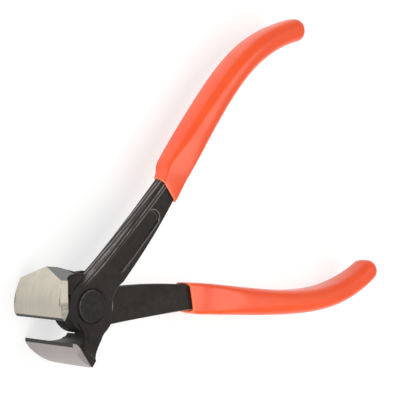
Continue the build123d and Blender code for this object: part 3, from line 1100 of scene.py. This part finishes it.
    def tree(self) -> bpy.types.NodeTree:
        """Geometry Nodes tree that skins the rows.

        Returns:
            The tree, with its sizes as named inputs.
        """
        tree = bpy.data.node_groups.new(f"{self.half.sleeve}_loft", "GeometryNodeTree")
        sockets = {name: "Float" for name in ("Width", "Height", "Corner", "Fullness")}
        sockets = {"Rows": "Geometry", **sockets, "Around": "Int", "Vinyl": "Material"}
        for name, kind in sockets.items():
            tree.interface.new_socket(name, in_out="INPUT", socket_type=f"NodeSocket{kind}")
        tree.interface.new_socket("Skin", in_out="OUTPUT", socket_type="NodeSocketGeometry")
        graph = Graph(tree)
        given = graph.add("NodeGroupInput").outputs

        def named(name: str, kind: str = "FLOAT") -> Socket:
            """Reads an attribute of the rows."""
            node = graph.add("GeometryNodeInputNamedAttribute", {"Name": name}, data_type=kind)
            return node.outputs["Attribute"]

        ring = graph.add("GeometryNodeCurvePrimitiveCircle", {"Resolution": given["Around"], "Radius": 1.0})
        factor = graph.add("GeometryNodeSplineParameter").outputs["Factor"]
        marks = {"Geometry": ring.outputs["Curve"], "Name": "turn", "Value": factor}
        marked = graph.add("GeometryNodeStoreNamedAttribute", marks, data_type="FLOAT", domain="POINT")
        spine = graph.add("GeometryNodeMeshToCurve", {"Mesh": given["Rows"]})
        curves = {"Curve": spine.outputs["Curve"], "Profile Curve": marked.outputs["Geometry"]}
        skin = graph.add("GeometryNodeCurveToMesh", curves)

        *shares, corner_share = graph.separate(named("section", "FLOAT_VECTOR"))
        inset = named("inset")
        turn = graph.product(named("turn"), 2 * pi)
        corner = graph.math("SUBTRACT", graph.product(corner_share, given["Corner"]), inset)
        corner = graph.math("MAXIMUM", corner, self.least_corner)
        offsets = []
        for size, share, wave in zip(("Width", "Height"), shares, ("COSINE", "SINE")):
            half_size = graph.math("SUBTRACT", graph.product(share, given[size], 0.5), inset)
            flat = graph.math("MAXIMUM", graph.math("SUBTRACT", half_size, corner), 0.0)
            direction = graph.math(wave, turn)
            squared = graph.product(direction, given["Fullness"])
            squared = graph.math("MAXIMUM", graph.math("MINIMUM", squared, 1.0), -1.0)
            offset = graph.math("ADD", graph.product(flat, squared), graph.product(corner, direction))
            offsets.append(graph.product(offset, named("scale")))
        scaled = {0: named("across", "FLOAT_VECTOR"), "Scale": offsets[0]}
        sideways = graph.add("ShaderNodeVectorMath", scaled, operation="SCALE").outputs[0]
        lean = graph.product(named("lean"), offsets[1], -1.0)
        place = named("centre", "FLOAT_VECTOR")
        for shift in (sideways, graph.combine(lean, 0.0, offsets[1])):
            place = graph.add("ShaderNodeVectorMath", {0: place, 1: shift}, operation="ADD").outputs[0]
        geometry = skin.outputs["Mesh"]
        for kind, inputs in (
            ("GeometryNodeSetPosition", {"Position": place}),
            ("GeometryNodeMergeByDistance", {"Distance": self.joined_within}),
            ("GeometryNodeSetShadeSmooth", {}),
            ("GeometryNodeRealizeInstances", {}),
            ("GeometryNodeSetMaterial", {"Material": given["Vinyl"]}),
        ):
            geometry = graph.add(kind, {"Geometry": geometry, **inputs}).outputs["Geometry"]
        graph.add("NodeGroupOutput", {"Skin": geometry})
        return tree

    def build(self, vinyl: bpy.types.Material) -> None:
        """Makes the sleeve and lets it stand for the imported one.

        Args:
            vinyl: The sleeve's finish.
        """
        piece = self.skeleton()
        tree = self.tree()
        modifier = piece.modifiers.new("loft", "NODES")
        modifier.node_group = tree
        sizes = {
            "Width": self.width,
            "Height": self.height,
            "Corner": self.corner,
            "Fullness": self.fullness,
            "Around": self.around,
            "Vinyl": vinyl,
        }
        for item in tree.interface.items_tree:
            if item.in_out == "INPUT" and item.name in sizes:
                modifier[item.identifier] = sizes[item.name]
        view = bpy.context.evaluated_depsgraph_get()
        skin = bpy.data.meshes.new_from_object(piece.evaluated_get(view), depsgraph=view)
        piece.modifiers.remove(modifier)
        piece.data = skin
        for name in ("centre", "across", "section", "inset", "scale", "lean", "turn"):
            layer = skin.attributes.get(name)
            if layer is not None:
                skin.attributes.remove(layer)
        skin.transform(POSE.from_drawing(self.half))
        skin.name = self.half.sleeve
        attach(piece, self.half.value)
        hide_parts(self.half.grip)
        LOG.info("lofted %s with %d faces", piece.name, len(skin.polygons))


def dress(node: str, material: bpy.types.Material) -> None:
    """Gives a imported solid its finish.

    Args:
        node: Name of the solid.
        material: Its finish.
    """
    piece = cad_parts[node]
    piece.data.materials.clear()
    piece.data.materials.append(material)
    LOG.info("dressed %s with %s", node, material.name)


@dataclass(frozen=True)
class Lamp:
    """Soft square lamp that points at the tool.

    Attributes:
        right, up, back: Where it hangs along the camera's axes, in metres.
        size: Length of its side, in metres.
        power: Its power in watts.
    """

    name: str
    right: float
    up: float
    back: float
    size: float
    power: float
    colour: Colour


@dataclass(frozen=True)
class Studio:
    """Floor, lamps, world and camera, in metres.

    Attributes:
        floor_colour: Colour of the floor in the light that it throws back.
        seen_colour: Its colour as seen, besides the light that it is given of its own.
        floor_light, world_light: Strength of that light, and of the world's.
        right, up: The camera's axes in the frame.
        focal: Focal length, as a share of the picture's width.
        sensor: The picture's width in the camera, in millimetres.
        target: What the lamps point at.
    """

    floor_height: float = -22.8 * MM
    floor_reach: float = 3.0
    floor_colour: Colour = (0.80, 0.80, 0.80)
    seen_colour: Colour = (0.42, 0.42, 0.42)
    floor_light: float = 0.66
    world_light: float = 0.45
    eye: tuple[float, float, float] = (-0.3091, 0.1879, 0.4480)
    right: tuple[float, float, float] = (0.6694, -0.2935, 0.6825)
    up: tuple[float, float, float] = (0.4064, 0.9137, -0.0056)
    focal: float = 3.5
    sensor: float = 36.0
    clip: tuple[float, float] = (0.05, 20.0)
    target: tuple[float, float, float] = (0.06, 0.0, -0.006)
    lamps: tuple[Lamp, ...] = (
        Lamp("key", -0.85, 0.55, 0.65, size=0.7, power=20.0, colour=(1.0, 0.98, 0.95)),
        Lamp("low", -0.25, -0.95, 0.55, size=0.7, power=11.0, colour=(1.0, 0.97, 0.95)),
        Lamp("fill", 1.0, 0.05, 0.45, size=0.9, power=6.0, colour=(1.0, 0.99, 0.97)),
    )

    def camera(self) -> None:
        """Makes the camera at the photograph's angle."""
        data = bpy.data.cameras.new("photo_camera")
        data.sensor_width = self.sensor
        data.lens = data.sensor_width * self.focal
        data.clip_start, data.clip_end = self.clip
        camera = bpy.data.objects.new("photo_camera", data)
        right = Vector(self.right).normalized()
        back = right.cross(Vector(self.up)).normalized()
        up = back.cross(right)
        turn = Matrix((right, up, back)).transposed().to_4x4()
        camera.matrix_world = Matrix.Translation(Vector(self.eye)) @ turn
        bpy.context.scene.collection.objects.link(camera)
        bpy.context.scene.camera = camera

    def floor(self) -> None:
        """Lays the pale floor that the tool lies on."""
        graph = Surface("floor_pale")
        path = graph.add("ShaderNodeLightPath").outputs
        seen = graph.math("MAXIMUM", path["Is Camera Ray"], path["Is Glossy Ray"])
        plain, shown = (
            graph.add("ShaderNodeBsdfDiffuse", {"Color": colour}).outputs[0]
            for colour in (self.floor_colour, self.seen_colour)
        )
        lit = graph.add("ShaderNodeEmission", {"Color": WHITE, "Strength": self.floor_light}).outputs[0]
        shown = graph.add("ShaderNodeAddShader", {0: shown, 1: lit}).outputs[0]
        choice = graph.add("ShaderNodeMixShader", {0: seen, 1: plain, 2: shown}).outputs[0]
        mesh = bpy.data.meshes.new("floor")
        reach, height = self.floor_reach, self.floor_height
        signs = ((-1, -1), (1, -1), (1, 1), (-1, 1))
        mesh.from_pydata([(a * reach, b * reach, height) for a, b in signs], [], [(0, 1, 2, 3)])
        mesh.materials.append(graph.cover(choice))
        floor = bpy.data.objects.new("floor", mesh)
        bpy.context.scene.collection.objects.link(floor)

    def hang(self, lamp: Lamp) -> None:
        """Hangs one of the lamps.

        Args:
            lamp: The lamp.
        """
        data = bpy.data.lights.new(lamp.name, "AREA")
        data.shape = "SQUARE"
        data.size, data.energy, data.color = lamp.size, lamp.power, lamp.colour
        right, up = Vector(self.right), Vector(self.up)
        place = right * lamp.right + up * lamp.up + right.cross(up) * lamp.back
        piece = bpy.data.objects.new(lamp.name, data)
        piece.location = place
        piece.rotation_mode = "QUATERNION"
        piece.rotation_quaternion = (Vector(self.target) - place).to_track_quat("-Z", "Y")
        bpy.context.scene.collection.objects.link(piece)

    def light(self) -> None:
        """Sets the world and hangs the lamps."""
        world = bpy.data.worlds.new("studio")
        bpy.context.scene.world = world
        world.use_nodes = True
        graph = Graph(world.node_tree)
        background = graph.add("ShaderNodeBackground", {"Color": WHITE, "Strength": self.world_light})
        graph.add("ShaderNodeOutputWorld", {"Surface": background.outputs[0]})
        for lamp in self.lamps:
            self.hang(lamp)

    def build(self) -> None:
        """Makes the whole studio."""
        self.camera()
        self.floor()
        self.light()
        bpy.context.scene.view_settings.view_transform = "Standard"
        LOG.info("studio ready")


# Painted light and reflection: the same ground steel is lighter and warmer on the rear jaw, darker and
# pinkish on the front jaw.
LEVER_FINISHES = (
    LeverFinish(Half.FRONT, ground=(0.42, 0.385, 0.37), streak=(0.285, 0.255, 0.25)),
    LeverFinish(Half.REAR, ground=(0.70, 0.66, 0.56), streak=(0.345, 0.315, 0.27)),
)
SLEEVES = (
    Sleeve(
        Half.FRONT,
        tip_bend=-1.1,
        reach=121.6,
        mouth=64.3,
        mouth_width=12.2,
        mouth_middle=11.3,
        mouth_tilt=17.0,
        mouth_blend=9.0,
    ),
    Sleeve(
        Half.REAR,
        tip_bend=1.0,
        reach=124.3,
        mouth=56.4,
        mouth_width=13.8,
        mouth_middle=10.3,
        mouth_tilt=0.0,
    ),
)


def main() -> None:
    """Builds everything in order."""
    Studio().build()
    for finish in LEVER_FINISHES:
        dress(finish.half.lever, finish.build())
    dress("joint_rivet", RivetFinish().build())
    vinyl = SleeveFinish().build()
    for sleeve in SLEEVES:
        sleeve.build(vinyl)


if __name__ == "__main__":
    main()
